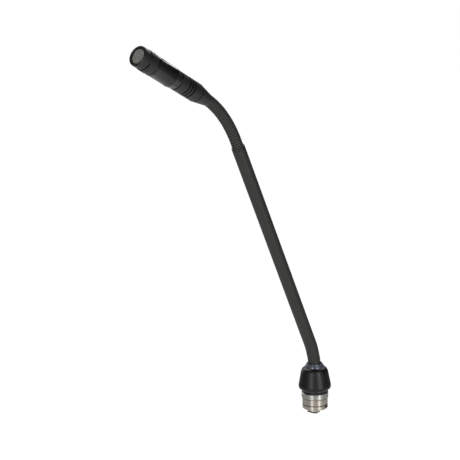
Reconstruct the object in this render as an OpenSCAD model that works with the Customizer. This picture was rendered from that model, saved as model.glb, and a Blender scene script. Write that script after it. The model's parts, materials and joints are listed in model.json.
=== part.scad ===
// Gooseneck podium microphone with a male three-pin connector base, millimetres.
// Origin: centre of the connector shell's open rim. +Z: up along the connector. +X: the way the neck leans.
// Two flexible stretches are chains of ball joints, which alternate bend (about Y) and sway (about local X).

/* [Connector] */
// Outer diameter of the connector shell
shell_d = 19.0; // [18.9:0.05:19.1]
// Inner diameter of the shell's mouth
shell_bore_d = 16.4; // [16.2:0.1:16.6]
// Height of the groove between the nose and the middle band
nose_groove_z = 3.0; // [2.9:0.1:3.3]
// Height of the shoulder that stops the coupling ring
band_top_z = 7.9; // [7.8:0.1:8.1]
// Outer diameter of the coupling ring
coupling_d = 20.0; // [19.8:0.1:20.4]
// Top of the coupling ring
coupling_top_z = 12.4; // [12.2:0.1:12.8]

/* [Boot] */
// Height of the boot's lower edge
boot_z = 13.8; // [13.6:0.1:14.0]
// Diameter at the lower edge
boot_foot_d = 20.6; // [20.2:0.1:21]
// Largest diameter
boot_max_d = 24.2; // [23.4:0.1:25]
// Diameter under the shoulder
boot_neck_d = 20.6; // [20:0.1:21.4]
// Diameter of the flat top
boot_top_d = 14.8; // [14.6:0.1:15.6]
// Height of the flat top
boot_top_z = 31.6; // [31.0:0.1:31.8]

/* [Neck] */
// Height of the first ball joint
lower_first_z = 36.2; // [36.0:0.1:36.4]
// Distance between the lower ball joints
lower_pitch = 5.8; // [5.75:0.05:6.2]
// Outer radius of the lower links
lower_link_r = 4.2; // [4.0:0.05:4.25]
// Length from the last lower joint to the first upper joint
mid_length = 174.3; // [120:1:240]
// Distance between the upper ball joints
upper_pitch = 5.5; // [5.45:0.05:6]
// Outer radius of the upper links
upper_link_r = 3.8; // [3.7:0.05:3.85]
// Outer diameter of the smooth sleeve
sleeve_d = 9.3; // [8.9:0.1:9.6]
// Outer diameter of the straight tube in the sleeve
tube_d = 7.9; // [7.7:0.1:8.0]
// Bore of the straight tube
tube_bore_d = 6.5; // [6.3:0.1:6.7]

/* [Head] */
// Length of the head from the small end of its cone to the front rim
head_length = 69.9; // [69:0.1:71]
// Radius of the rear vent ring
vent_r = 6.33; // [6.2:0.01:6.4]
// Radius of the glossy barrel
barrel_r = 6.74; // [6.6:0.01:6.9]
// Radius of the front collar
collar_r = 7.03; // [6.95:0.01:7.1]
// Radius of the window in front of the grille
window_r = 4.75; // [4.4:0.05:4.9]

/* [Hidden] */
$fn = 72;
// Tilt that each joint adds at rest, from the lowest up: only the bend joints add any
lower_tilt = [15.4, 0, 10.7, 0];
upper_tilt = [0, 7.3, 0, 8.6, 0, 9.9, 0, 10.9];
lower_n = len(lower_tilt);
upper_n = len(upper_tilt);
head_gap = 3.1;              // from the last ball joint to the cone's small end

shell_r = shell_d / 2;
shell_bore_r = shell_bore_d / 2;
shell_tail_r = 9.0;          // thinner tail that the ring and the boot slide over
shell_top_z = 18.9;
liner_r = 8.7;               // bore that the liner is pushed into
liner_top_z = 6.9;
rim_chamfer = 0.35;
groove_depth = 0.4;
coupling_gap = 0.3;          // dark line under the coupling ring
washer_r = 9.6;
screw_z = 5.3;
window_z = [1.1, 2.8];       // lower and upper edge of the latch window
window_turn = 105;
window_half_angle = 19;
// A pointed tongue hangs from the rim on this side. Edges as [sideways, z]
tongue_turn = 37;
tongue_edge = [[-5.8, 2], [-5.8, -0.15], [-3, -0.35], [0.7, -1.1], [3.2, 0], [3.2, 2]];
liner_edge = [[-5.8, 2], [-5.8, -1.45], [0.8, -2.3], [3.7, -0.8], [3.7, 2]];
tongue_depth = 2.4;          // lowest point of either tongue, rounded up
seat_z = 13.7;               // step that the pin insert rests on
seat_r = 8.45;
insert_top_z = 17.7;
pin_circle_r = 3.95;
pin_r = 1.2;
pin_angles = [0, 180, 270];
board_z = 19.9;
board_t = 1.2;
board_r = 7.9;
boot_max_z = 16.1;
boot_neck_z = 27.5;
shoulder_share = 0.75;       // 1 is a quarter ellipse, 0 a straight bevel
cavity_r = 8.4;
web_z = 27.9;                // underside of the boot's top wall
stem_r = 6.1;
stem_z = 24.1;
nut_z = 25.3;
ring_top_z = 34.7;
ring_bore_r = 5.2;           // leaves a dark gap around the neck
slack = 0.03;                // gap that a fixed fit leaves

lower_ball_r = 3.2;
upper_ball_r = 2.85;
ball_gap = 0.05;             // running clearance of a ball in its cup
cup_lip = 1.1;               // how far a cup closes past its ball's centre
neck_r = 1.75;
wire_bore_r = 1.1;
wire_r = 0.9;
wire_knuckle_r = 1.0;        // round end that joins two straight lengths of wire
sleeve_start = 3.4;          // from the last lower joint to the sleeve's end
sleeve_end = 4.6;            // from the sleeve's collar end down to the first upper joint
collar_h = 1.3;

function vsum(v, n) = n <= 0 ? 0 : v[n - 1] + vsum(v, n - 1);
function step(tilt, len) = [len * sin(tilt), 0, len * cos(tilt)];
// Place and total tilt of the frame that starts at lower joint i (after it has turned)
function lower_total(i) = vsum(lower_tilt, i + 1);
function lower_pos(i) = i == 0 ? [0, 0, lower_first_z]
    : lower_pos(i - 1) + step(lower_total(i - 1), lower_pitch);
function upper_total(i) = lower_total(lower_n - 1) + vsum(upper_tilt, i + 1);
function upper_pos(i) = i == 0 ? lower_pos(lower_n - 1) + step(lower_total(lower_n - 1), mid_length)
    : upper_pos(i - 1) + step(upper_total(i - 1), upper_pitch);
head_tilt = upper_total(upper_n - 1);
head_pos = upper_pos(upper_n - 1) + step(head_tilt, head_gap);

module at_lower(i) { translate(lower_pos(i)) rotate([0, lower_total(i), 0]) children(); }
module at_upper(i) { translate(upper_pos(i)) rotate([0, upper_total(i), 0]) children(); }
module at_tube() { at_lower(lower_n - 1) children(); }
module at_head() { translate(head_pos) rotate([0, head_tilt, 0]) children(); }

// ---------- shared shapes ----------
// Round tube from z0 to z1
module pipe(z0, z1, r_out, r_in) {
    translate([0, 0, z0]) difference() {
        cylinder(h = z1 - z0, r = r_out);
        translate([0, 0, -1]) cylinder(h = z1 - z0 + 2, r = r_in);
    }
}
module rod(z0, z1, r) { translate([0, 0, z0]) cylinder(h = z1 - z0, r = r); }
module cone(z0, z1, r0, r1) { translate([0, 0, z0]) cylinder(h = z1 - z0, r1 = r0, r2 = r1); }
// Body of revolution from [radius, z] points
module turned(points) { rotate_extrude($fn = 96) polygon(points); }
// Hexagonal nut
module hex_nut(z0, z1, across, bore) {
    difference() {
        translate([0, 0, z0]) cylinder(h = z1 - z0, r = across / 2 / cos(30), $fn = 6);
        rod(z0 - 1, z1 + 1, bore);
    }
}
// Arc-shaped slots around a wall, with bridges of the given angle between them
module arc_slots(z, height, r_in, r_out, count, bridge, turn) {
    for (k = [0:count - 1])
        rotate([0, 0, turn + bridge / 2 + k * 360 / count]) translate([0, 0, z - height / 2])
            rotate_extrude(angle = 360 / count - bridge, $fn = 96)
                translate([r_in, 0]) square([r_out - r_in, height]);
}
// Cup centred on a ball joint: it closes past the ball's middle and has the wire's hole below
module cup_shell(link_r) { sphere(r = link_r); }
module cup_space(link_r, ball_r) {
    sphere(r = ball_r + ball_gap);
    rod(cup_lip, link_r + 1, link_r + 1);
}
// Ball with a neck, its bell mouth faces down so that the wire can turn
module ball_solid(ball_r, neck_to) {
    sphere(r = ball_r);
    rod(0, neck_to, neck_r);
}
module ball_space(ball_r, neck_to) {
    rod(-ball_r, neck_to + 1, wire_bore_r);
    cone(-ball_r - 0.2, 0, 2.1, wire_bore_r);
}
// One link: ball at the origin and cup one pitch above
module chain_link(pitch, link_r, ball_r) {
    difference() {
        union() {
            ball_solid(ball_r, pitch - link_r + 1);
            translate([0, 0, pitch]) cup_shell(link_r);
        }
        ball_space(ball_r, pitch);
        translate([0, 0, pitch]) cup_space(link_r, ball_r);
    }
}

// ---------- connector ----------
// Everything under the rim, apart from the tongue that hangs below it
module under_rim(edge) difference() {
    turned([[0, -tongue_depth - 1], [shell_r + 2, -tongue_depth - 1], [shell_r + 2, rim_chamfer + 2],
        [shell_r - rim_chamfer, 0], [0, 0]]);
    rotate([0, 0, tongue_turn]) rotate([90, 0, 90]) linear_extrude(shell_r + 3) polygon(edge);
}
module connector_shell() color([0.78, 0.74, 0.68]) difference() {
    turned([[liner_r, -tongue_depth], [shell_r, -tongue_depth], [shell_r, nose_groove_z],
        [shell_r - groove_depth, nose_groove_z + 0.1], [shell_r - groove_depth, nose_groove_z + 0.35],
        [shell_r, nose_groove_z + 0.45], [shell_r, band_top_z - 0.15], [shell_r - 0.15, band_top_z],
        [shell_tail_r, band_top_z], [shell_tail_r, shell_top_z], [seat_r, shell_top_z],
        [seat_r, seat_z], [shell_bore_r, seat_z], [shell_bore_r, liner_top_z], [liner_r, liner_top_z]]);
    under_rim(tongue_edge);
    // Latch window
    rotate([0, 0, window_turn - window_half_angle]) translate([0, 0, window_z[0]])
        rotate_extrude(angle = 2 * window_half_angle, $fn = 96)
            translate([liner_r - 1, 0]) square([shell_r - liner_r + 2, window_z[1] - window_z[0]]);
    // Hole of the shell screw
    translate([0, 0, screw_z]) rotate([0, 90, 0]) {
        rod(shell_bore_r - 1, shell_r + 1, 0.85);
        cone(shell_r - 0.75, shell_r + 0.05, 0.85, 1.75);
    }
}
// Insulating sleeve in the mouth of the shell, seen in the window and below the tongue
module shell_liner() color([0.06, 0.06, 0.06]) difference() {
    pipe(-tongue_depth, liner_top_z - slack, liner_r - slack, shell_bore_r);
    under_rim(liner_edge);
    translate([0, 0, screw_z]) rotate([0, 90, 0]) rod(shell_bore_r - 1, shell_r, 0.9);
}
module shell_screw() color([0.6, 0.58, 0.54]) translate([0, 0, screw_z]) rotate([0, 90, 0]) difference() {
    union() {
        rod(shell_bore_r - 0.1, shell_r - 0.5, 0.82);
        cone(shell_r - 0.73, shell_r - 0.15, 0.82, 1.5);
    }
    translate([-2, -0.2, shell_r - 0.45]) cube([4, 0.4, 1]);
}
module coupling_ring() color([0.74, 0.74, 0.71])
    turned([[shell_tail_r + slack, band_top_z + coupling_gap],
        [coupling_d / 2 - 0.15, band_top_z + coupling_gap],
        [coupling_d / 2, band_top_z + coupling_gap + 0.15], [coupling_d / 2, coupling_top_z - 0.3],
        [coupling_d / 2 - 0.3, coupling_top_z], [shell_tail_r + slack, coupling_top_z]]);
module ring_gasket() color([0.05, 0.05, 0.05])
    pipe(coupling_top_z + 0.02, boot_z - 0.02, washer_r, shell_tail_r + slack);
module pin_insert() color([0.16, 0.16, 0.17]) difference() {
    union() {
        rod(seat_z + slack, insert_top_z, seat_r - 0.04);
        rod(seat_z - 1.5, seat_z + 1, shell_bore_r - 0.05);
    }
    for (a = pin_angles) rotate([0, 0, a]) translate([pin_circle_r, 0, 0])
        rod(seat_z - 3, insert_top_z + 1, pin_r + slack);
}
// Contact pin with a round tip and a solder tail
module contact_pin(angle, tip_z) color([0.83, 0.77, 0.6]) rotate([0, 0, angle])
    translate([pin_circle_r, 0, 0]) {
        rod(tip_z + pin_r, insert_top_z + 0.6, pin_r);
        translate([0, 0, tip_z + pin_r]) sphere(r = pin_r);
        rod(insert_top_z, board_z + board_t + 0.8, 0.7);
    }
module contact_pin_1() contact_pin(pin_angles[0], 1.0);
module contact_pin_2() contact_pin(pin_angles[1], 1.8);
module contact_pin_3() contact_pin(pin_angles[2], 1.8);

// ---------- base electronics ----------
module preamp_board() color([0.1, 0.35, 0.2]) difference() {
    rod(board_z, board_z + board_t, board_r);
    for (a = pin_angles) rotate([0, 0, a]) translate([pin_circle_r, 0, 0])
        rod(board_z - 1, board_z + board_t + 1, 0.7 + slack);
}
board_top = board_z + board_t + 0.02;
module board_capacitors() color([0.2, 0.22, 0.4])
    for (s = [-1, 1]) translate([s * 2.2, 3.6, 0]) rod(board_top, board_top + 2.2, 1.9);
module board_transistors() color([0.1, 0.1, 0.1])
    for (s = [-1, 1]) translate([s * 1.7 - 1.2, -2.8, board_top]) cube([2.4, 1.5, 1.1]);

// ---------- boot ----------
// Shoulder between a straight bevel and a quarter ellipse
function shoulder(round, flat) = shoulder_share * round + (1 - shoulder_share) * flat;
module boot() color([0.13, 0.13, 0.14]) difference() {
    union() {
        turned([[0, boot_z], [boot_foot_d / 2 - 0.3, boot_z], [boot_foot_d / 2, boot_z + 0.4],
            [boot_max_d / 2 - 0.35, boot_max_z - 0.5], [boot_max_d / 2, boot_max_z + 0.5],
            [boot_max_d / 2, boot_max_z + 1.9], [boot_max_d / 2 - 0.2, boot_max_z + 3],
            [boot_neck_d / 2, boot_neck_z], [0, boot_neck_z]]);
        // Rounded shoulder
        turned(concat([[0, boot_neck_z - 0.01], [boot_neck_d / 2, boot_neck_z - 0.01]],
            [for (a = [15:15:90]) [
                boot_top_d / 2 + (boot_neck_d - boot_top_d) / 2 * shoulder(cos(a), 1 - a / 90),
                boot_neck_z + (boot_top_z - boot_neck_z) * shoulder(sin(a), a / 90)]],
            [[0, boot_top_z]]));
    }
    rod(boot_z - 1, shell_top_z + 0.2, shell_tail_r + slack);
    rod(boot_z, web_z, cavity_r);
    rod(web_z - 1, boot_top_z + 1, stem_r + slack);
}
module stem_bush() color([0.7, 0.6, 0.35]) difference() {
    union() {
        rod(stem_z, boot_top_z - 0.1, stem_r);
        rod(boot_top_z - 1, lower_first_z - 1, lower_link_r);
        translate([0, 0, lower_first_z]) cup_shell(lower_link_r);
    }
    translate([0, 0, lower_first_z]) cup_space(lower_link_r, lower_ball_r);
    rod(stem_z - 1, lower_first_z, wire_bore_r);
}
module lock_nut() color([0.7, 0.6, 0.35]) hex_nut(nut_z, web_z - 0.02, 14, stem_r + slack);
module chrome_ring() color([0.5, 0.52, 0.6])
    turned([[ring_bore_r, boot_top_z + 0.02], [boot_top_d / 2 - 0.3, boot_top_z + 0.02],
        [boot_top_d / 2 - 0.05, boot_top_z + 0.3], [boot_top_d / 2 - 0.15, boot_top_z + 0.7],
        [5.95, ring_top_z - 0.35], [5.75, ring_top_z], [ring_bore_r, ring_top_z]]);

// ---------- lower flexible stretch ----------
module lower_link(i) color([0.2, 0.2, 0.2]) at_lower(i)
    chain_link(lower_pitch, lower_link_r, lower_ball_r);
module lower_link_1() lower_link(0);
module lower_link_2() lower_link(1);
module lower_link_3() lower_link(2);
module lower_cable() color([0.3, 0.1, 0.1]) {
    rod(board_top + 0.3, lower_first_z, wire_r);
    for (i = [0:lower_n - 1]) at_lower(i) {
        sphere(r = wire_knuckle_r);
        rod(0, i < lower_n - 1 ? lower_pitch : sleeve_start + 1, wire_r);
    }
}

// ---------- straight tube ----------
tube_z0 = sleeve_start;                   // measured from the last lower joint
tube_z1 = mid_length - sleeve_end;        // end of the tube, below the first upper joint
sleeve_z1 = mid_length - 3.2;             // top of the collar
module lower_end_fitting() color([0.7, 0.6, 0.35]) at_tube() difference() {
    union() {
        ball_solid(lower_ball_r, tube_z0);
        rod(tube_z0 - 0.5, tube_z0 - slack, tube_d / 2);
        rod(tube_z0 - 0.5, tube_z0 + 8, tube_bore_d / 2 - slack);
    }
    ball_space(lower_ball_r, tube_z0 + 9);
}
module rigid_tube() color([0.55, 0.55, 0.57]) at_tube()
    pipe(tube_z0, tube_z1, tube_d / 2, tube_bore_d / 2);
module outer_sleeve() color([0.16, 0.16, 0.16]) at_tube()
    pipe(tube_z0, sleeve_z1 - collar_h - 0.35, sleeve_d / 2, tube_d / 2 + slack);
module tube_collar() color([0.1, 0.1, 0.1]) at_tube() translate([0, 0, sleeve_z1 - collar_h])
    turned([[tube_d / 2 - 0.1, 0], [sleeve_d / 2 - 0.2, 0], [sleeve_d / 2, 0.3],
        [sleeve_d / 2, collar_h - 0.4], [sleeve_d / 2 - 0.35, collar_h], [tube_d / 2 - 0.1, collar_h]]);
module upper_end_fitting() color([0.7, 0.6, 0.35]) at_tube() difference() {
    union() {
        rod(tube_z1 - 9, tube_z1 + 0.5, tube_bore_d / 2 - slack);
        rod(tube_z1 + slack, mid_length - 1, upper_link_r);
        translate([0, 0, mid_length]) cup_shell(upper_link_r);
    }
    translate([0, 0, mid_length]) cup_space(upper_link_r, upper_ball_r);
    rod(tube_z1 - 10, mid_length, wire_bore_r);
}
module tube_cable() color([0.3, 0.1, 0.1]) at_tube()
    rod(sleeve_start + 1.02, tube_z1 - 1, wire_r);

// ---------- upper flexible stretch ----------
module upper_link(i) color([0.2, 0.2, 0.2]) at_upper(i)
    chain_link(upper_pitch, upper_link_r, upper_ball_r);
module upper_link_1() upper_link(0);
module upper_link_2() upper_link(1);
module upper_link_3() upper_link(2);
module upper_link_4() upper_link(3);
module upper_link_5() upper_link(4);
module upper_link_6() upper_link(5);
module upper_link_7() upper_link(6);
module upper_cable() color([0.3, 0.1, 0.1]) {
    at_tube() rod(tube_z1 - 0.98, mid_length, wire_r);
    for (i = [0:upper_n - 1]) at_upper(i) {
        sphere(r = wire_knuckle_r);
        rod(0, i < upper_n - 1 ? upper_pitch : head_gap + 20, wire_r);
    }
}

// ---------- head, measured from the cone's small end ----------
cone_l = 11.9;
seal_depth = 0.75;           // dark lines at both ends of the vent ring
vent_z0 = 12.6;
vent_z1 = 32.5;
barrel_z0 = 33.2;
barrel_z1 = 56.7;
flare_z0 = 57.1;
flare_z1 = 61.5;
cap_z0 = 61.7;
slit_z = 63.9;
stud_r = 3.0;
slot_h = 1.1;
vent_bridge_turn = 159;      // the two bridges between the vent slots lie above and below, away from the sides
cap_bridge_turn = 81;
module neck_adaptor() color([0.7, 0.6, 0.35]) at_head() difference() {
    union() {
        translate([0, 0, -head_gap]) ball_solid(upper_ball_r, head_gap);
        rod(-0.6, 2.3, 2.4);
        rod(2.3, 18, stud_r);
    }
    translate([0, 0, -head_gap]) ball_space(upper_ball_r, 21);
}
module rear_cone() color([0.17, 0.17, 0.17]) at_head() difference() {
    turned([[0, 0], [3.9, 0], [4.02, 0.25], [vent_r - 0.28, cone_l - 0.35],
        [vent_r - 0.25, cone_l], [0, cone_l]]);
    rod(-1, 2.4, upper_link_r + 0.05);
    rod(0, cone_l + 1, stud_r + slack);
}
module cone_seal() color([0.03, 0.03, 0.03]) at_head()
    pipe(cone_l + 0.01, vent_z0 - 0.01, vent_r - seal_depth, stud_r + slack);
module vent_ring() color([0.2, 0.2, 0.21]) at_head() difference() {
    turned([[stud_r + slack, vent_z0], [vent_r - 0.1, vent_z0], [vent_r, vent_z0 + 0.15],
        [vent_r, vent_z1 - 0.15], [vent_r - 0.1, vent_z1], [5.45, vent_z1], [5.45, 15.2],
        [stud_r + slack, 15.2]]);
    for (z = [20.25, 22.85, 25.45]) arc_slots(z, slot_h, 4.9, vent_r + 1, 2, 12, vent_bridge_turn);
}
module adaptor_nut() color([0.7, 0.6, 0.35]) at_head() hex_nut(15.22, 17.4, 8, stud_r + slack);
module vent_screen() color([0.35, 0.35, 0.35]) at_head() pipe(17.6, 29.6, 5.4, 5.1);
module barrel_seal() color([0.03, 0.03, 0.03]) at_head()
    pipe(vent_z1 + 0.01, barrel_z0 - 0.01, vent_r - seal_depth, 5.42);
module barrel() color([0.12, 0.12, 0.12]) at_head() turned([
    [4.7, 29.9], [5.4, 29.9], [5.4, barrel_z0], [vent_r - 0.22, barrel_z0], [vent_r - 0.1, barrel_z0 + 0.5],
    [barrel_r, 37.8], [barrel_r + 0.18, 38.2], [barrel_r + 0.18, 38.8], [barrel_r, 39.3],
    [barrel_r, 53.9], [barrel_r + 0.16, 54.7], [barrel_r + 0.16, 56.0], [barrel_r - 0.05, barrel_z1],
    [5.9, barrel_z1], [5.9, 54.0], [5.7, 53.6], [5.7, 34.5], [4.7, 33.5]]);
module flare_ring() color([0.15, 0.15, 0.15]) at_head() turned([
    [5.75, 54.6], [5.87, 54.6], [5.87, flare_z0],
    [barrel_r - 0.04, flare_z0], [barrel_r + 0.02, flare_z0 + 0.3],
    [collar_r, 59.4], [collar_r, flare_z1 - 0.15], [collar_r - 0.15, flare_z1], [5.75, flare_z1]]);
module front_cap() color([0.19, 0.19, 0.2]) at_head() difference() {
    turned([[5.6, cap_z0], [collar_r - 0.1, cap_z0], [collar_r, cap_z0 + 0.15],
        [collar_r, slit_z - 0.45], [6.72, slit_z - 0.35], [6.72, head_length - 0.9],
        [6.62, head_length - 0.25], [6.3, head_length], [5.6, head_length],
        [window_r, head_length - 0.55], [window_r, head_length - 0.8], [5.6, head_length - 0.8]]);
    arc_slots(slit_z + 0.15, 0.75, 5.4, 8, 3, 24, cap_bridge_turn);
}
module front_grille() color([0.43, 0.44, 0.42]) at_head() difference() {
    rod(head_length - 1.3, head_length - 0.82, 5.5);
    for (k = [0:6]) rotate([0, 0, k * 60]) translate([k < 6 ? 2.6 : 0, 0, 0])
        rod(head_length - 2, head_length, 0.35);
}
module grille_cloth() color([0.3, 0.3, 0.28]) at_head() rod(head_length - 2.1, head_length - 1.32, 5.5);

// ---------- capsule ----------
can_z0 = 60.2;
can_z1 = 67.4;
module capsule_gasket() color([0.05, 0.05, 0.05]) at_head() pipe(61.9, 67.4, 5.55, 5.06);
module capsule_can() color([0.75, 0.75, 0.76]) at_head() difference() {
    rod(can_z0, can_z1, 5.03);
    rod(can_z0 - 1, can_z1 - 0.3, 4.72);
    rod(can_z1 - 1, can_z1 + 1, 3.2);
}
module diaphragm_ring() color([0.8, 0.7, 0.4]) at_head() pipe(66.6, 67.08, 4.68, 4.0);
module diaphragm() color([0.85, 0.85, 0.8]) at_head() rod(66.45, 66.58, 4.6);
module spacer_ring() color([0.9, 0.9, 0.85]) at_head() pipe(66.2, 66.43, 4.68, 4.1);
module backplate() color([0.8, 0.7, 0.4]) at_head() difference() {
    rod(65.5, 66.18, 4.3);
    for (k = [0:5]) rotate([0, 0, k * 60]) translate([2.4, 0, 0]) rod(65, 67, 0.45);
}
module backplate_holder() color([0.2, 0.2, 0.2]) at_head() pipe(62.2, 65.48, 4.68, 3.9);
module capsule_board() color([0.1, 0.35, 0.2]) at_head() rod(61.3, 62.18, 4.66);
module capsule_transistor() color([0.1, 0.1, 0.1]) at_head()
    translate([-1.3, -0.8, 62.2]) cube([2.6, 1.6, 1.1]);
module contact_disc() color([0.85, 0.8, 0.65]) at_head() difference() {
    rod(50.2, 52.8, 5.66);
    rod(50, 53, 0.8 + slack);
}
module contact_stud() color([0.83, 0.77, 0.6]) at_head() rod(48.8, 61.28, 0.8);
module head_lead() color([0.3, 0.1, 0.1]) at_head() rod(20.02, 48.78, 0.9);

connector_shell();
shell_liner();
shell_screw();
coupling_ring();
ring_gasket();
pin_insert();
contact_pin_1();
contact_pin_2();
contact_pin_3();
preamp_board();
board_capacitors();
board_transistors();
boot();
stem_bush();
lock_nut();
chrome_ring();
lower_link_1();
lower_link_2();
lower_link_3();
lower_cable();
lower_end_fitting();
rigid_tube();
outer_sleeve();
tube_collar();
upper_end_fitting();
tube_cable();
upper_link_1();
upper_link_2();
upper_link_3();
upper_link_4();
upper_link_5();
upper_link_6();
upper_link_7();
upper_cable();
neck_adaptor();
rear_cone();
cone_seal();
vent_ring();
adaptor_nut();
vent_screen();
barrel_seal();
barrel();
flare_ring();
front_cap();
front_grille();
grille_cloth();
capsule_gasket();
capsule_can();
diaphragm_ring();
diaphragm();
spacer_ring();
backplate();
backplate_holder();
capsule_board();
capsule_transistor();
contact_disc();
contact_stud();
head_lead();
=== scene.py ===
# %% [markdown]
# # A gooseneck podium microphone
# The real object is a slim condenser head on a bendable neck. The neck is a wound-steel hose at the top, a
# straight tube in a smooth sleeve in the middle, and a second short hose, hidden by the sleeve, just above
# the base. The base is a black conical boot with a chrome ring on top and a nickel-plated three-pin
# connector shell below. The engineering model gives every rigid piece. This file gives them their finishes,
# and makes the pieces that bend: the ribbed hose, the sleeve and the cable inside them.

# %% Load the frame
import json
import math

import bpy
import numpy as np
from mathutils import Matrix, Vector


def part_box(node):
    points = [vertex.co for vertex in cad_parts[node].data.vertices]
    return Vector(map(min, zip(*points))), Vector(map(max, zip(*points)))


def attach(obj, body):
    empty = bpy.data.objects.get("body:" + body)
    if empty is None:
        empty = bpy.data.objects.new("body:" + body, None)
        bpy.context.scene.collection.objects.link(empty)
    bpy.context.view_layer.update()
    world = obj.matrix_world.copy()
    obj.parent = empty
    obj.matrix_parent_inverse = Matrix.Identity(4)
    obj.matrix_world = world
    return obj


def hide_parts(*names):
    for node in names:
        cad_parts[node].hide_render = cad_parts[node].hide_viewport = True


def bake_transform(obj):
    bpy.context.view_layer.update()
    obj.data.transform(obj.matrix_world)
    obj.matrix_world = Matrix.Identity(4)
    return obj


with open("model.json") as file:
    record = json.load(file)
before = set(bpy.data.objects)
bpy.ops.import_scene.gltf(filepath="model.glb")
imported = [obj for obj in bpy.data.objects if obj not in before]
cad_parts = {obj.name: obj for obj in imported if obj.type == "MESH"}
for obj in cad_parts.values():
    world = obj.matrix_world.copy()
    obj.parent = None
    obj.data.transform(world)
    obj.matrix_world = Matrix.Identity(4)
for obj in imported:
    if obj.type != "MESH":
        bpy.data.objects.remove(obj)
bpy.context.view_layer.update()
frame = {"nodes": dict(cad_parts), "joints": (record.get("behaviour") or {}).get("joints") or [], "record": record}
nodes = frame["nodes"]
joints = {joint["name"]: joint for joint in frame["joints"]}
MM = 0.001

# %% [markdown]
# ## Camera
# A product shot is taken from a little above the head, with a long lens, so the neck keeps its true
# thickness. The microphone leans to the left and towards the viewer, about halfway between the two.

# %% Camera
CAMERA_PLACE = (0.6850, 0.5155, 0.3035)
CAMERA_TURN = (79.02, 1.74, 130.64)
CAMERA_LENS = 93.2

camera_data = bpy.data.cameras.new("camera")
camera_data.lens = CAMERA_LENS
camera_data.sensor_width = 36.0
camera_data.clip_start = 0.01
camera_data.clip_end = 20.0
camera = bpy.data.objects.new("camera", camera_data)
camera.location = CAMERA_PLACE
camera.rotation_euler = [math.radians(turn) for turn in CAMERA_TURN]
bpy.context.scene.collection.objects.link(camera)
bpy.context.scene.camera = camera
print("camera is", round(Vector(CAMERA_PLACE).length, 3), "m from the connector")

# %% [markdown]
# ## Shader maths
# A finish is easier to read as a formula than as a web of nodes. Term wraps one socket, and its operators
# add Math nodes. Finish holds one material, and its node method makes any other node: settings first, then
# inputs.


# %% Shader maths
class Term:
    """One output socket. Arithmetic on terms and numbers adds Math nodes."""

    def __init__(self, finish, socket):
        self.finish, self.socket = finish, socket

    def maths(self, operation, *values):
        """A Math node on the given values."""
        return self.finish.node("ShaderNodeMath", {"operation": operation}, dict(enumerate(values)))

    def absolute(self):
        return self.maths("ABSOLUTE", self)

    def sine(self):
        return self.maths("SINE", self)

    def at_least(self, other):
        return self.maths("MAXIMUM", self, other)

    def __add__(self, other):
        return self.maths("ADD", self, other)

    def __sub__(self, other):
        return self.maths("SUBTRACT", self, other)

    def __rsub__(self, other):
        return self.maths("SUBTRACT", other, self)

    def __mul__(self, other):
        return self.maths("MULTIPLY", self, other)

    def __pow__(self, other):
        return self.maths("POWER", self, other)

    __radd__, __rmul__ = __add__, __mul__


class Nodes:
    """A node tree that is being filled."""

    def __init__(self, owner):
        owner.use_nodes = True
        self.tree = owner.node_tree

    def node(self, kind, settings=None, inputs=None, output=0):
        """Adds a node of a type, applies its settings, then its values or links, and returns one output."""
        made = self.tree.nodes.new(kind)
        for key, value in (settings or {}).items():
            if key == "stops":
                ramp = made.color_ramp
                while len(ramp.elements) < len(value):
                    ramp.elements.new(0.5)
                for element, (place, colour) in zip(ramp.elements, value):
                    element.position, element.color = place, (*colour, 1)
            else:
                setattr(made, key, value)
        for key, value in (inputs or {}).items():
            self.put(made.inputs[key], value)
        return Term(self, made.outputs[output])

    def put(self, socket, value):
        """Links a term to a socket, or sets the socket's own value."""
        if isinstance(value, Term):
            self.tree.links.new(value.socket, socket)
        elif hasattr(socket.default_value, "__len__") and len(socket.default_value) == 4:
            socket.default_value = (*value[:3], 1)
        else:
            socket.default_value = value

    def fade(self, value, start, end, low=0.0, high=1.0, kind="SMOOTHSTEP"):
        """Goes from low to high as value goes from start to end, and stays level outside."""
        limits = {"Value": value, "From Min": start, "From Max": end, "To Min": low, "To Max": high}
        return self.node("ShaderNodeMapRange", {"interpolation_type": kind}, limits)


class Finish(Nodes):
    """A material under construction, with its Principled shader."""

    def __init__(self, name):
        self.material = bpy.data.materials.new(name)
        super().__init__(self.material)
        self.shader = self.tree.nodes["Principled BSDF"]

    def set(self, **values):
        """Sets the shader's inputs: base_color=... means the socket Base Color."""
        for key, value in values.items():
            self.put(self.shader.inputs[key.replace("_", " ").title()], value)

    def place(self, stretch=(1, 1, 1), turn=(0, 0, 0)):
        """Object coordinates in metres, turned, then stretched along each axis."""
        coordinates = self.node("ShaderNodeTexCoord", output="Object")
        turned = self.node("ShaderNodeMapping", inputs={"Vector": coordinates, "Rotation": turn})
        return self.node("ShaderNodeMapping", inputs={"Vector": turned, "Scale": stretch})

    def square_to(self, tilt):
        """The two coordinates square to an axis that is tilted about Y."""
        parts = self.node("ShaderNodeSeparateXYZ", inputs={"Vector": self.place(turn=(0, -tilt, 0))})
        return [Term(self, parts.socket.node.outputs[axis]) for axis in ("X", "Y")]

    def noise(self, scale, detail=3.0, roughness=0.5, where=None):
        """Fractal noise between 0 and 1, with scale features per metre."""
        vector = where or self.place()
        values = {"Vector": vector, "Scale": scale, "Detail": detail, "Roughness": roughness}
        return self.node("ShaderNodeTexNoise", inputs=values)

    def blend(self, factor, low, high):
        """Colour that goes from low to high as factor goes from 0 to 1."""
        values = {"Factor": factor, 6: low, 7: high}
        return self.node("ShaderNodeMix", {"data_type": "RGBA"}, values, output=2)

    def bump(self, height, strength, depth):
        """Normal from a height of 0 to 1 that stands for depth metres."""
        values = {"Height": height, "Strength": strength, "Distance": depth}
        return self.node("ShaderNodeBump", inputs=values)


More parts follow.
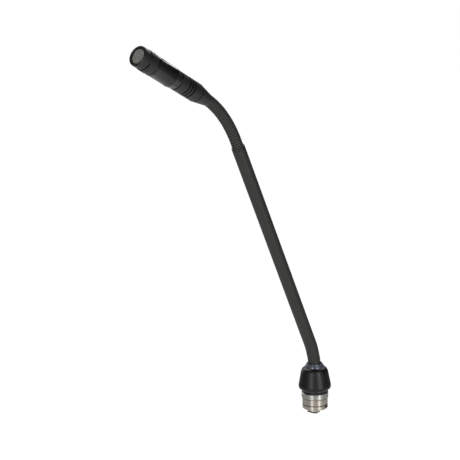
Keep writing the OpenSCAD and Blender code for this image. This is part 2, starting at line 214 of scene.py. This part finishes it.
def around(level, *swings):
    """A value that swings about a level. Each noise of 0 to 1 adds its own swing, half up and half down."""
    total = level - sum(swing for _, swing in swings) / 2
    for noise, swing in swings:
        total = noise * swing + total
    return total


# %% [markdown]
# ## Directions of the three straight stretches
# Turned metal carries fine rings around its own axis, so a finish has to know how its piece is tilted. The
# tilts are measured from the frame: the boot stands upright, the tube runs from the last lower joint to the
# first upper one, and the lead in the head lies on the head's axis.


# %% Directions
def tilt_between(low, high):
    """Angle from +Z towards +X of the line between two points in the XZ plane."""
    return math.atan2(high[0] - low[0], high[2] - low[2])


def middle(node):
    """The middle of a node's box."""
    low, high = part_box(node)
    return (low + high) / 2


tube_tilt = tilt_between(joints["lower_sway_2"]["pos_m"], joints["upper_sway_1"]["pos_m"])
head_tilt = tilt_between(joints["upper_bend_4"]["pos_m"], middle("head_lead"))
print("tube leans", round(math.degrees(tube_tilt), 1), "degrees, head", round(math.degrees(head_tilt), 1))

# %% [markdown]
# ## Metal finishes
# Plated and turned pieces are mirrors roughened by fine rings. The rings are noise that is stretched around
# the axis: it changes fast along the axis and hardly at all across it. The same rings drive the roughness
# and a tiny bump.


# %% Metal finishes
TURNING_RINGS = (60, 60, 9000)  # features per metre: few across the axis, many along it
RING_DEPTH = 0.004 * MM
PLATING_SHADE = 0.12
GROOVE_SHADE_COLOUR = (0.05, 0.045, 0.04)


def turned_metal(name, colour, roughness, tilt=0.0, grooves=()):
    """Lathe-turned and plated metal, with rings along an axis tilted about Y.

    A groove is a height and a half width in mm. Painted shade darkens its middle and fades out past its edges.
    """
    finish = Finish(name)
    rings = finish.noise(1.0, 4.0, 0.6, finish.place(TURNING_RINGS, (0, -tilt, 0)))
    cloud = finish.noise(140, 3.0)
    darker = [channel * (1 - PLATING_SHADE) for channel in colour]
    plated = finish.blend(cloud, darker, colour)
    for height, half in grooves:
        z = finish.node("ShaderNodeSeparateXYZ", inputs={"Vector": finish.place()}, output="Z")
        away = (z - height * MM).absolute()
        # Painted shade: the middle of each groove is darkened towards near black.
        groove_shade = finish.fade(away, 0.6 * half * MM, 1.3 * half * MM, 1.0, 0.0)
        plated = finish.blend(groove_shade, plated, GROOVE_SHADE_COLOUR)
    finish.set(
        base_color=plated,
        metallic=1.0,
        roughness=around(roughness, (rings, 0.10), (cloud, 0.08)),
        normal=finish.bump(rings, 0.35, RING_DEPTH),
    )
    return finish.material


def polished_chrome(name):
    """Dark, cool plating with a faint polishing haze."""
    finish = Finish(name)
    haze = finish.noise(300, 4.0)
    finish.set(
        base_color=finish.blend(haze, (0.15, 0.16, 0.205), (0.18, 0.19, 0.24)),
        metallic=0.5,
        roughness=around(0.27, (haze, 0.10)),
    )
    return finish.material


# %% [markdown]
# ## Black finishes
# Nearly everything else is black, and only the surface tells the pieces apart. The boot is moulded plastic
# with a fine grain and a soft sheen. The sleeve is matte, a little warm and slightly dusty. The head is
# satin black with turning rings, and its barrel is glossy lacquer.


# %% Black finishes
GRAIN_DEPTH = 0.01 * MM
PEEL_DEPTH = 0.03 * MM
DRAWING_MARKS = (2600, 2600, 40)  # features per metre: many across the tube, few along it
FAINT_RINGS = (80, 80, 7000)
SATIN = (0.017, 0.017, 0.018)
RECESS_SHADE = (0.002, 0.002, 0.002)
RECESS_EDGE = 0.1 * MM


def moulded_black(name, colour=(0.004, 0.004, 0.0045), roughness=0.40):
    """Moulded plastic: fine grain, and a slow change of sheen over the surface."""
    finish = Finish(name)
    grains = finish.noise(5200, 2.0)
    cloud = finish.noise(90, 3.0)
    lighter = [channel * 1.35 for channel in colour]
    finish.set(
        base_color=finish.blend(cloud, colour, lighter),
        roughness=around(roughness, (cloud, 0.10), (grains, 0.06)),
        normal=finish.bump(grains, 0.12, GRAIN_DEPTH),
    )
    return finish.material


def matte_sleeve(name):
    """Smooth heat-shrunk sleeve: matte, warm black, with fine lengthwise drawing marks and a little dust."""
    finish = Finish(name)
    grains = finish.noise(6000, 2.0)
    drawn = finish.noise(1.0, 3.0, 0.5, finish.place(DRAWING_MARKS, (0, -tube_tilt, 0)))
    dust = finish.noise(700, 5.0, 0.65) ** 3
    finish.set(
        base_color=finish.blend(dust, (0.024, 0.024, 0.0225), (0.06, 0.059, 0.055)),
        roughness=around(0.47, (drawn, 0.10)),
        normal=finish.bump(grains + drawn * 0.6, 0.25, GRAIN_DEPTH),
    )
    return finish.material


def inside_of(finish, radius):
    """1 closer to the head's axis than a radius, 0 further out: the walls of slots, and the inner rim, which take
    painted shade and a duller sheen.
    """
    centre = middle("barrel")
    offset = centre[0] * math.cos(head_tilt) - centre[2] * math.sin(head_tilt)
    sideways, depth = finish.square_to(head_tilt)
    sideways = sideways - offset
    away = (sideways * sideways + depth * depth) ** 0.5
    return finish.fade(away, radius - RECESS_EDGE, radius, 1.0, 0.0, "LINEAR")


def satin_black(name, tilt, recess_r=None):
    """Black anodised or painted metal with faint turning rings. Inside recess_r it is duller, and darkened as
    painted shade.
    """
    finish = Finish(name)
    rings = finish.noise(1.0, 3.0, 0.5, finish.place(FAINT_RINGS, (0, -tilt, 0)))
    speck = finish.noise(2400, 3.0)
    lighter = [channel * 1.2 for channel in SATIN]
    shade = finish.blend(speck, SATIN, lighter)
    sheen = around(0.36, (rings, 0.12))
    if recess_r:
        # Painted shade: inside the recess radius the colour goes to near black, where shade falls in slots and
        # rim.
        recess = inside_of(finish, recess_r)
        shade = finish.blend(recess, shade, RECESS_SHADE)
        sheen = sheen + recess * 0.4
    finish.set(
        base_color=shade,
        roughness=sheen,
        normal=finish.bump(rings * 0.6 + speck * 0.4, 0.06, RING_DEPTH),
    )
    return finish.material


def gloss_black(name):
    """Black lacquer under a clear coat, with very slight orange peel."""
    finish = Finish(name)
    peel = finish.noise(420, 2.0)
    finish.set(
        base_color=finish.blend(peel, (0.002, 0.002, 0.002), (0.003, 0.003, 0.003)),
        roughness=around(0.20, (peel, 0.06)),
        normal=finish.bump(peel, 0.05, PEEL_DEPTH),
        coat_weight=0.6,
        coat_roughness=0.08,
    )
    return finish.material


def wound_black(name):
    """Blackened wound steel: crests worn smooth and lighter as a painted highlight, roots darkened as painted
    shade. The crest value is on the mesh.
    """
    finish = Finish(name)
    crest = finish.node("ShaderNodeAttribute", {"attribute_name": "crest"}, output="Fac")
    grime = finish.noise(1500, 4.0)
    # Painted light: crests get a lighter colour as a painted highlight, and the roots stay near black as painted
    # shade.
    rubbed_and_lit = finish.fade(crest, 0.5, 0.97) * around(0.9, (grime, 0.2))
    finish.set(
        base_color=finish.blend(rubbed_and_lit, (0.004, 0.004, 0.0036), (0.044, 0.043, 0.039)),
        roughness=0.75 - rubbed_and_lit * 0.25,
        normal=finish.bump(grime, 0.08, GRAIN_DEPTH),
    )
    return finish.material


# %% [markdown]
# ## Small parts
# Rubber, brass, gold plate, circuit board and woven screens hardly show from outside, but they are seen
# when the object is taken apart, so each gets its own finish too.


# %% Finishes of the small parts
CLOTH_PITCH = 0.35 * MM
CLOTH_DEPTH = 0.04 * MM
VENT_WALL_R = 6.2 * MM
CAP_WALL_R = 6.45 * MM


def plain_finish(name, low, high, roughness, scale=900, metallic=0.0):
    """A surface whose colour and roughness drift between two values at one scale."""
    finish = Finish(name)
    drift = finish.noise(scale, 4.0, 0.55)
    finish.set(
        base_color=finish.blend(drift, low, high),
        metallic=metallic,
        roughness=around(roughness, (drift, 0.14)),
        normal=finish.bump(drift, 0.2, GRAIN_DEPTH),
    )
    return finish.material


def woven_cloth(name, pitch, dark, light):
    """Over-and-under weave: the product of two crossed sine waves, moved to run from 0 to 1."""
    finish = Finish(name)
    first, second = ((place * (math.tau / pitch)).sine() for place in finish.square_to(head_tilt))
    weave = first * second * 0.5 + 0.5
    finish.set(
        base_color=finish.blend(weave, dark, light),
        roughness=0.85 - weave * 0.1,
        normal=finish.bump(weave, 0.6, CLOTH_DEPTH),
    )
    return finish.material


FINISHES = {
    # The satin nickel's two grooves carry painted shade.
    "nickel": turned_metal("satin nickel", (0.78, 0.71, 0.62), 0.30, grooves=((3.22, 0.32), (7.95, 0.25))),
    "nickel_ring": turned_metal("bright nickel", (0.70, 0.70, 0.65), 0.30),
    "chrome_plate": polished_chrome("cool chrome"),
    "boot_black": moulded_black("moulded boot"),
    "seal_black": plain_finish("black rubber", (0.006, 0.006, 0.006), (0.014, 0.014, 0.014), 0.75),
    "insert_black": moulded_black("black insert", (0.02, 0.02, 0.02), 0.5),
    "contact_gold": turned_metal("gold contact", (0.83, 0.66, 0.32), 0.22),
    "turned_brass": turned_metal("turned brass", (0.72, 0.56, 0.27), 0.30),
    "board_green": plain_finish("solder mask", (0.02, 0.13, 0.05), (0.03, 0.19, 0.08), 0.35),
    "capacitor_blue": plain_finish("capacitor can", (0.03, 0.05, 0.22), (0.05, 0.07, 0.28), 0.3),
    "component_black": moulded_black("component black", (0.015, 0.015, 0.015), 0.45),
    "link_steel": satin_black("link steel", tube_tilt),
    "cable_jacket": plain_finish("cable jacket", (0.012, 0.012, 0.012), (0.022, 0.022, 0.022), 0.6),
    "tube_steel": turned_metal("drawn tube", (0.55, 0.55, 0.56), 0.32, tilt=tube_tilt),
    "sleeve_black": matte_sleeve("smooth sleeve"),
    "head_satin": satin_black("satin head", head_tilt),
    "head_gloss": gloss_black("glossy barrel"),
    "grille_mesh": plain_finish("grille wire", (0.33, 0.335, 0.30), (0.37, 0.375, 0.34), 0.7, metallic=0.05),
    "screen_cloth": woven_cloth("acoustic cloth", CLOTH_PITCH, (0.26, 0.262, 0.24), (0.32, 0.322, 0.30)),
    "can_aluminium": turned_metal("drawn aluminium", (0.80, 0.80, 0.81), 0.3, tilt=head_tilt),
    "film": plain_finish("metallised film", (0.72, 0.69, 0.55), (0.80, 0.77, 0.64), 0.2, 500, metallic=0.5),
    "insulator": plain_finish("pale insulator", (0.70, 0.66, 0.52), (0.78, 0.74, 0.60), 0.5),
    "wound_neck": wound_black("wound neck"),
    # These two paint shade inside the vent ring's slots and the front cap's inner rim.
    "vent_satin": satin_black("vent ring satin", head_tilt, VENT_WALL_R),
    "cap_satin": satin_black("front cap satin", head_tilt, CAP_WALL_R),
    # Painted shade: the screen behind the vent slots is near black, standing in for the shade inside the slots.
    "shade_black_screen": plain_finish("screen in painted shade", (0.003, 0.003, 0.003), (0.006, 0.006, 0.006), 0.9),
}
print("finishes:", len(FINISHES))

# %% [markdown]
# ## Dress the rigid pieces
# A carried-over node is a bag of loose triangles. Welding them and splitting only at real edges lets the
# round faces shade smoothly, without moving a single vertex. Most pieces wear the finish of their slot, and
# three pieces of the head wear their own, which paint shade into the vent slots and the front rim.


# %% Dress the rigid pieces
EDGE_ANGLE = math.radians(28)
WELD_DISTANCE = 0.001 * MM
# The vent screen wears painted shade in place of its own cloth finish.
OWN_FINISHES = {"vent_screen": "shade_black_screen", "vent_ring": "vent_satin", "front_cap": "cap_satin"}


def dress(node, finish):
    """Gives a carried-over node its finish, and smooth shading between its real edges."""
    for slot in node.material_slots:
        slot.material = finish
    mesh = node.data
    mesh.polygons.foreach_set("use_smooth", np.ones(len(mesh.polygons), bool))
    weld = node.modifiers.new("weld", "WELD")
    weld.merge_threshold = WELD_DISTANCE
    split = node.modifiers.new("edges", "EDGE_SPLIT")
    split.split_angle = EDGE_ANGLE


for row in frame["record"]["subparts"]:
    finish = OWN_FINISHES.get(row["node"], row["material_slot"])
    dress(nodes[row["node"]], FINISHES[finish])

# %% [markdown]
# ## The neck's centreline
# The neck lies in one plane, so its centreline is known once its tilt is known at each length. Each bend
# joint adds its tilt over a short stretch around it, along a smooth step. Summing the steps gives the
# direction, and summing the direction gives the curve.


# %% The neck's centreline
class Centreline:
    """A planar curve past a row of joints. at(s) gives places and tilts, with s = 0 at the first joint."""

    MARGIN = 30 * MM
    STEPS = 4001

    def __init__(self, names, before, after, spread):
        places = np.array([joints[name]["pos_m"] for name in names])
        legs = np.diff(places, axis=0)
        tilts = np.concatenate([[before], np.arctan2(legs[:, 0], legs[:, 2]), [after]])
        self.stations = np.concatenate([[0], np.cumsum(np.linalg.norm(legs, axis=1))])
        self.lengths = np.linspace(-self.MARGIN, self.stations[-1] + self.MARGIN, self.STEPS)
        ramps = np.clip((self.lengths[:, None] - self.stations + spread) / (2 * spread), 0, 1)
        self.tilts = tilts[0] + (ramps**2 * (3 - 2 * ramps)) @ np.diff(tilts)
        steps = np.diff(self.lengths)[:, None] * np.stack([np.sin(self.tilts), np.cos(self.tilts)], 1)[1:]
        start = places[0, [0, 2]] - self.MARGIN * np.array([math.sin(before), math.cos(before)])
        self.places = start + np.concatenate([[[0, 0]], np.cumsum(steps, axis=0)])

    def at(self, s):
        """X, Z and tilt at a length s past the first joint."""
        x = np.interp(s, self.lengths, self.places[:, 0])
        z = np.interp(s, self.lengths, self.places[:, 1])
        return x, z, np.interp(s, self.lengths, self.tilts)


LOWER_JOINTS = ["lower_bend_1", "lower_sway_1", "lower_bend_2", "lower_sway_2"]
UPPER_JOINTS = [f"upper_{kind}_{k}" for k in (1, 2, 3, 4) for kind in ("sway", "bend")]
lower_line = Centreline(LOWER_JOINTS, 0.0, tube_tilt, 5.8 * MM)
upper_line = Centreline(UPPER_JOINTS, tube_tilt, head_tilt, 5.5 * MM)
for stretch, line in {"lower": lower_line, "upper": upper_line}.items():
    print(stretch, "stretch:", round(line.stations[-1] / MM, 1), "mm from first to last joint")

# %% [markdown]
# ## Tubes that bend
# Each bendable piece is a tube with a wall, carried along the centreline. Its section is one closed loop of
# rows: up the outside and back down the inside. That leaves no open edge, and the same function makes the
# ribbed hose, the smooth sleeve and the cable.


# %% Tubes that bend
def tube_between(name, line, start, end, outer, inner, rows, columns=72):
    """Closed wall between two radii. outer(s, angle) and inner(s, angle) give radii in metres.

    A point is centre(s) + r * (cos(angle) * across(s) + sin(angle) * Y). Across is the centreline's normal.
    """
    up = np.linspace(start, end, rows)
    s = np.concatenate([up, up[::-1]])[:, None]
    angle = np.linspace(0, math.tau, columns, endpoint=False)[None]
    radius = np.concatenate([outer(s[:rows], angle), inner(s[rows:], angle)])
    x, z, tilt = line.at(s)
    across = radius * np.cos(angle)
    points = np.stack([x + across * np.cos(tilt), radius * np.sin(angle), z - across * np.sin(tilt)], 2)
    piece = grid_mesh(name, points)
    return piece, radius.ravel()


def grid_mesh(name, points):
    """A mesh from a grid of points that closes on itself both ways."""
    rows, columns = points.shape[:2]
    index = np.arange(rows * columns).reshape(rows, columns)
    below, beside = np.roll(index, -1, 0), np.roll(index, -1, 1)
    faces = np.stack([index, beside, np.roll(below, -1, 1), below], 2).reshape(-1, 4)
    mesh = bpy.data.meshes.new(name)
    mesh.from_pydata(points.reshape(-1, 3), [], faces)
    mesh.polygons.foreach_set("use_smooth", np.ones(len(faces), bool))
    piece = bpy.data.objects.new(name, mesh)
    bpy.context.scene.collection.objects.link(piece)
    return piece


def split_at(line, first, last):
    """Ends of one piece per joint: the cuts are halfway between joints."""
    cuts = (line.stations[1:] + line.stations[:-1]) / 2
    return list(zip([first, *cuts], [*cuts, last]))


def bend_with(piece, line, station, reach):
    """Bakes a piece's placement into its mesh. It works out the centreline points around the joint, but does not
    use them.
    """
    (x0, x1), (z0, z1), _ = line.at(np.array([station - reach, station + reach]))
    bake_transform(piece)


# %% [markdown]
# ## The wound hose
# The upper neck is round wire wound over a spring, which leaves fine ribs in a helix. A rib is the top of a
# circle: its height over one pitch is a square root, high in the middle and steep at the roots. The rib's
# place depends on the length minus the angle, so it climbs one pitch in each turn and runs on from piece to
# piece.

# %% The wound hose
HOSE_R = 4.0 * MM
RIB_DEPTH = 0.5 * MM
RIB_PITCH = 1.9 * MM
HOSE_BORE = 2.95 * MM
HOSE_FIRST = -4.4 * MM
HOSE_LAST = upper_line.stations[-1] + 4.2 * MM
HOSE_REACH = 2.6 * MM  # length on each side of a joint that is handed to bend_with
RIB_FULLNESS = 0.97  # below 1, so that the root between two ribs keeps a slope
ROWS_PER_RIB = 22


def rib_height(s, angle):
    """0 at the root and 1 at the crest, as the top of a circle."""
    turn = s / RIB_PITCH - angle / math.tau
    across = 2 * (turn - np.floor(turn)) - 1
    return np.sqrt(1 - (RIB_FULLNESS * across) ** 2)


def hose_radius(s, angle):
    """The crest's radius, less the rib's depth where the rib has no height."""
    return HOSE_R - RIB_DEPTH * (1 - rib_height(s, angle))


def bore(radius):
    """A plain round wall of one radius."""
    return lambda s, angle: np.full((len(s), angle.size), radius)


hose_bore = bore(HOSE_BORE)
for k, (start, end) in enumerate(split_at(upper_line, HOSE_FIRST, HOSE_LAST)):
    joint = joints[UPPER_JOINTS[k]]
    rows = round((end - start) / RIB_PITCH * ROWS_PER_RIB)
    hose, radius = tube_between(f"neck_hose_{k + 1}", upper_line, start, end, hose_radius, hose_bore, rows)
    # The crest value drives a painted highlight on the ribs' tops and painted shade at their roots.
    crest = hose.data.attributes.new("crest", "FLOAT", "POINT")
    crest.data.foreach_set("value", np.clip(1 - (HOSE_R - radius) / RIB_DEPTH, 0, 1).astype(np.float32))
    hose.data.materials.append(FINISHES["wound_neck"])
    bend_with(hose, upper_line, upper_line.stations[k], HOSE_REACH)
    if joint["child"].startswith("upper_link"):
        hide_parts(joint["child"])
    if k == 0:
        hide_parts("upper_end_fitting")
print("hose pieces:", len(UPPER_JOINTS), "ribs:", round((HOSE_LAST - HOSE_FIRST) / RIB_PITCH))

# %% [markdown]
# ## The smooth sleeve
# The sleeve is shrunk over the lower hose and the straight tube in one length, so both stretches share one
# radius and one finish, and the joints between the pieces don't show.

# %% The smooth sleeve
SLEEVE_R = 4.65 * MM
SLEEVE_BORE = 4.23 * MM
SLEEVE_FOOT = -4.6 * MM
SLEEVE_REACH = 2.7 * MM
SLEEVE_ROWS = 30
STRAIGHT_START = lower_line.stations[-1] + 3.4 * MM
outside, inside = bore(SLEEVE_R), bore(SLEEVE_BORE)

for k, (start, end) in enumerate(split_at(lower_line, SLEEVE_FOOT, STRAIGHT_START)):
    joint = joints[LOWER_JOINTS[k]]
    sleeve, _ = tube_between(f"sleeve_foot_{k + 1}", lower_line, start, end, outside, inside, SLEEVE_ROWS)
    sleeve.data.materials.append(FINISHES["sleeve_black"])
    bend_with(sleeve, lower_line, lower_line.stations[k], SLEEVE_REACH)
    if joint["child"].startswith("lower_link"):
        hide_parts(joint["child"])
print("sleeve pieces:", len(LOWER_JOINTS))

# %% [markdown]
# ## The cable in the hoses
# The cable runs through every joint. It is cut and bent at the same places as the hose around it, so it
# stays inside the hose.

# %% The cable in the hoses
CABLE_R = 0.9 * MM
CABLE_CORE_R = CABLE_R / 3
CABLE_REACH = 2.6 * MM
CABLE_ROWS, CABLE_COLUMNS = 14, 20
LOWER_CORE_FOOT = -14 * MM
UPPER_CORE_FOOT = -5 * MM
UPPER_CORE_TOP = upper_line.stations[-1] + 20 * MM


def lay_cable(name, line, first, last, node):
    """One short length of cable per joint, in place of the rigid cable of the frame, with a thin bore."""
    jacket, core = bore(CABLE_R), bore(CABLE_CORE_R)
    for k, (start, end) in enumerate(split_at(line, first, last)):
        cable, _ = tube_between(f"{name}_{k + 1}", line, start, end, jacket, core, CABLE_ROWS, CABLE_COLUMNS)
        cable.data.materials.append(FINISHES["cable_jacket"])
        bend_with(cable, line, line.stations[k], CABLE_REACH)
        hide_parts(node)


lay_cable("lower_core", lower_line, LOWER_CORE_FOOT, STRAIGHT_START, "lower_cable")
lay_cable("upper_core", upper_line, UPPER_CORE_FOOT, UPPER_CORE_TOP, "upper_cable")

# %% [markdown]
# ## The front grille
# The window in front of the capsule is closed by woven wire. Two sets of wires cross at right angles, and
# each wire rises and falls as a wave, half a wave per crossing, so that it goes over one and under the
# next.

# %% The front grille
WIRE_PITCH = 0.34 * MM
WIRE_R = 0.125 * MM
WAVE_HEIGHT = 1.1 * WIRE_R  # more than the wire's radius, so that crossing wires clear each other
GRILLE_R = 5.35 * MM


def woven_wires(name, centre, tilt, radius, pitch, samples=4, sides=6):
    """Two crossed sets of wires, clipped to a disc, as one mesh of closed tubes.

    A wire runs straight one way, and rises and falls as WAVE_HEIGHT times a cosine. Its neighbours are half a
    wave later. The second set is the first with its two directions swapped and its wave turned over.
    """
    count = int(radius / pitch)
    offsets = (np.arange(-count, count) + 0.5) * pitch
    half = np.sqrt(radius**2 - offsets**2)
    steps = 2 * count * samples + 1
    t = np.linspace(-1, 1, steps)
    along = half[:, None] * t
    phase = np.arange(len(offsets))[:, None]
    height = WAVE_HEIGHT * np.cos(math.pi * (along / pitch + phase + 0.5))
    angle = np.linspace(0, math.tau, sides, endpoint=False)
    ring = np.stack([np.cos(angle), np.sin(angle)], 1) * WIRE_R
    side = offsets[:, None, None] + ring[:, 0]
    rise = height[..., None] + ring[:, 1]
    run = np.broadcast_to(along[..., None], rise.shape)
    first = np.stack([run, np.broadcast_to(side, rise.shape), rise], -1)
    second = np.stack([np.broadcast_to(side, rise.shape), run, rise - 2 * height[..., None]], -1)
    points = np.concatenate([first, second]).reshape(-1, 3)
    wires = 2 * len(offsets)
    index = np.arange(wires * steps * sides).reshape(wires, steps, sides)
    beside = np.roll(index, -1, 2)
    sheets = np.stack([index[:, :-1], index[:, 1:], beside[:, 1:], beside[:, :-1]], -1)
    faces = sheets.reshape(-1, 4).tolist()
    faces += index[:, 0, :].tolist() + index[:, -1, ::-1].tolist()
    mesh = bpy.data.meshes.new(name)
    mesh.from_pydata(points, [], faces)
    mesh.transform(Matrix.Translation(centre) @ Matrix.Rotation(tilt, 4, "Y"))
    mesh.polygons.foreach_set("use_smooth", np.ones(len(faces), bool))
    piece = bpy.data.objects.new(name, mesh)
    bpy.context.scene.collection.objects.link(piece)
    return piece


grille = woven_wires("woven_grille", middle("front_grille"), head_tilt, GRILLE_R, WIRE_PITCH)
grille.data.materials.append(FINISHES["grille_mesh"])
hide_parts("front_grille")
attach(grille, "head")
print("grille:", len(grille.data.polygons), "faces")

# %% [markdown]
# ## Studio
# The set is a white floor in a white surround, with soft boxes. Two tall, narrow boxes stand left and right
# of the camera and draw the two upright highlights on the boot and the connector. Two broad boxes stand
# behind, and light the left edge and the tops of the neck and the head. The lens sees pure white all round,
# but the light that the set gives back is dim: a pool of the floor below glows, and the room is grey low
# down and dark overhead. So the black pieces stay black, and turn lighter only where they mirror a box or
# the pool.

# %% Studio
FLOOR_REACH = 6.0
FLOOR_Z = -0.6
POOL_START, POOL_END = 0.7, 2.4  # metres from the origin
POOL_GLOW, FAR_GLOW = 0.55, 0.18
LOW_GREY, HIGH_GREY = 0.25, 0.015
FAR_SIDE_SHARE = 0.35
AIM = Vector((0.09, 0.0, 0.14))
CAMERA_SIDE = math.atan2(CAMERA_PLACE[1] - AIM[1], CAMERA_PLACE[0] - AIM[0])

corners = [(-1, -1), (1, -1), (1, 1), (-1, 1)]
floor_mesh = bpy.data.meshes.new("floor")
floor_mesh.from_pydata([(x * FLOOR_REACH, y * FLOOR_REACH, FLOOR_Z) for x, y in corners], [], [(0, 1, 2, 3)])
floor = bpy.data.objects.new("floor", floor_mesh)
bpy.context.scene.collection.objects.link(floor)
paper = Finish("white paper")
distance = paper.node("ShaderNodeVectorMath", {"operation": "LENGTH"}, {0: paper.place()}, output="Value")
glow = paper.fade(distance, POOL_START, POOL_END, POOL_GLOW, FAR_GLOW)
seen = paper.node("ShaderNodeLightPath", output="Is Camera Ray")
shown = paper.blend(seen.at_least(glow), (0, 0, 0), (1, 1, 1))
paper.set(base_color=(0.1, 0.1, 0.1), roughness=0.9, emission_color=shown, emission_strength=1.0)
floor.data.materials.append(paper.material)


def soft_box(name, side, height, distance, size, radiance):
    """A rectangular light, side degrees round from the camera, aimed at the microphone."""
    light_data = bpy.data.lights.new(name, "AREA")
    light_data.shape = "RECTANGLE"
    light_data.size, light_data.size_y = size
    light_data.energy = radiance * math.pi * size[0] * size[1]
    light = bpy.data.objects.new(name, light_data)
    turn = CAMERA_SIDE + math.radians(side)
    light.location = AIM + Vector((distance * math.cos(turn), distance * math.sin(turn), height))
    light.rotation_euler = (AIM - light.location).to_track_quat("-Z", "Y").to_euler()
    bpy.context.scene.collection.objects.link(light)


soft_box("left_box", -29, 0.2, 1.3, (0.34, 1.5), 4.3)
soft_box("right_box", 38, 0.2, 1.3, (0.34, 1.5), 4.7)
soft_box("left_rim", -145, 0.5, 1.2, (0.7, 1.5), 1.0)
soft_box("back_box", 180, 1.0, 1.0, (1.6, 1.2), 2.6)


def studio_surround():
    """White to the lens. For light and mirror images it is grey low down, and darker overhead and behind."""
    world = bpy.data.worlds.new("studio")
    bpy.context.scene.world = world
    room = Nodes(world)
    direction = room.node("ShaderNodeTexCoord", output="Generated")

    def along(axis):
        vectors = {0: direction, 1: axis}
        return room.node("ShaderNodeVectorMath", {"operation": "DOT_PRODUCT"}, vectors, output="Value")

    by_height = room.fade(along((0, 0, 1)), 0.0, 0.8, LOW_GREY, HIGH_GREY)
    towards_camera = (math.cos(CAMERA_SIDE), math.sin(CAMERA_SIDE), 0.0)
    by_side = room.fade(along(towards_camera), -0.3, 0.9, FAR_SIDE_SHARE, 1.0)
    seen = room.node("ShaderNodeLightPath", output="Is Camera Ray")
    background = room.tree.nodes["Background"]
    room.put(background.inputs["Color"], (1, 1, 1))
    room.put(background.inputs["Strength"], seen.at_least(by_height * by_side))


studio_surround()
bpy.context.scene.view_settings.view_transform = "Standard"
